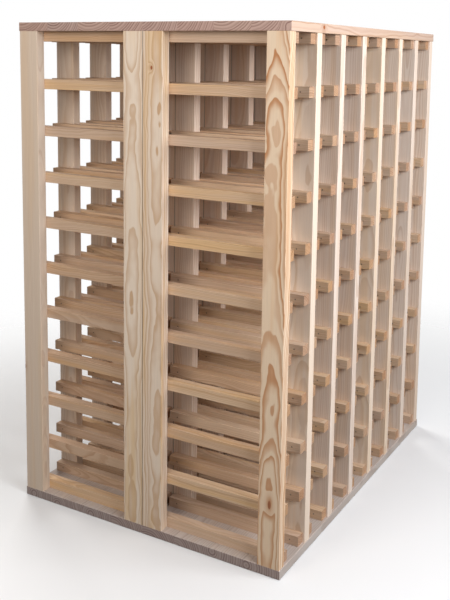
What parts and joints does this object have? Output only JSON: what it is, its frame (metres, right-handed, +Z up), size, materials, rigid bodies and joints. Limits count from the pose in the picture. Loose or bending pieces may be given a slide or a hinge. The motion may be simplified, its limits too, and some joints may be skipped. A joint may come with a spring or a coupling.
{
  "type": "wine rack",
  "caption": "Free-standing pine wine rack: two back-to-back modules of ladder frames whose rungs carry bottles, between one top and one bottom board.",
  "frame": {"origin": "centre of the footprint, at the underside of the bottom board", "axes": "+X along the long face from column to column, +Y through the depth to the rear long face, +Z up"},
  "size_m": [0.82, 0.64, 1.05],
  "materials": {
    "pine_board": "planed, unfinished edge-glued pine",
    "pine_post": "planed, unfinished pine",
    "pine_rung": "planed, unfinished pine",
    "steel_nail": "drawn wire with a small lost head, dulled",
    "steel_screw": "zinc plated"
  },
  "bodies": {
    "root": {"bottom_board": "pine_board", "bottom_board_screws": "steel_screw", "front_inner_post_1": "pine_post", "front_inner_post_2": "pine_post", "front_inner_post_3": "pine_post", "front_inner_post_4": "pine_post", "front_inner_post_5": "pine_post", "front_inner_post_6": "pine_post", "front_inner_post_7": "pine_post", "front_inner_post_8": "pine_post", "front_outer_post_1": "pine_post", "front_outer_post_2": "pine_post", "front_outer_post_3": "pine_post", "front_outer_post_4": "pine_post", "front_outer_post_5": "pine_post", "front_outer_post_6": "pine_post", "front_outer_post_7": "pine_post", "front_outer_post_8": "pine_post", "front_rung_nails": "steel_nail", "front_rungs_1": "pine_rung", "front_rungs_2": "pine_rung", "front_rungs_3": "pine_rung", "front_rungs_4": "pine_rung", "front_rungs_5": "pine_rung", "front_rungs_6": "pine_rung", "front_rungs_7": "pine_rung", "front_rungs_8": "pine_rung", "rear_inner_post_1": "pine_post", "rear_inner_post_2": "pine_post", "rear_inner_post_3": "pine_post", "rear_inner_post_4": "pine_post", "rear_inner_post_5": "pine_post", "rear_inner_post_6": "pine_post", "rear_inner_post_7": "pine_post", "rear_inner_post_8": "pine_post", "rear_outer_post_1": "pine_post", "rear_outer_post_2": "pine_post", "rear_outer_post_3": "pine_post", "rear_outer_post_4": "pine_post", "rear_outer_post_5": "pine_post", "rear_outer_post_6": "pine_post", "rear_outer_post_7": "pine_post", "rear_outer_post_8": "pine_post", "rear_rung_nails": "steel_nail", "rear_rungs_1": "pine_rung", "rear_rungs_2": "pine_rung", "rear_rungs_3": "pine_rung", "rear_rungs_4": "pine_rung", "rear_rungs_5": "pine_rung", "rear_rungs_6": "pine_rung", "rear_rungs_7": "pine_rung", "rear_rungs_8": "pine_rung", "top_board": "pine_board", "top_board_screws": "steel_screw"}
  },
  "joints": []
}
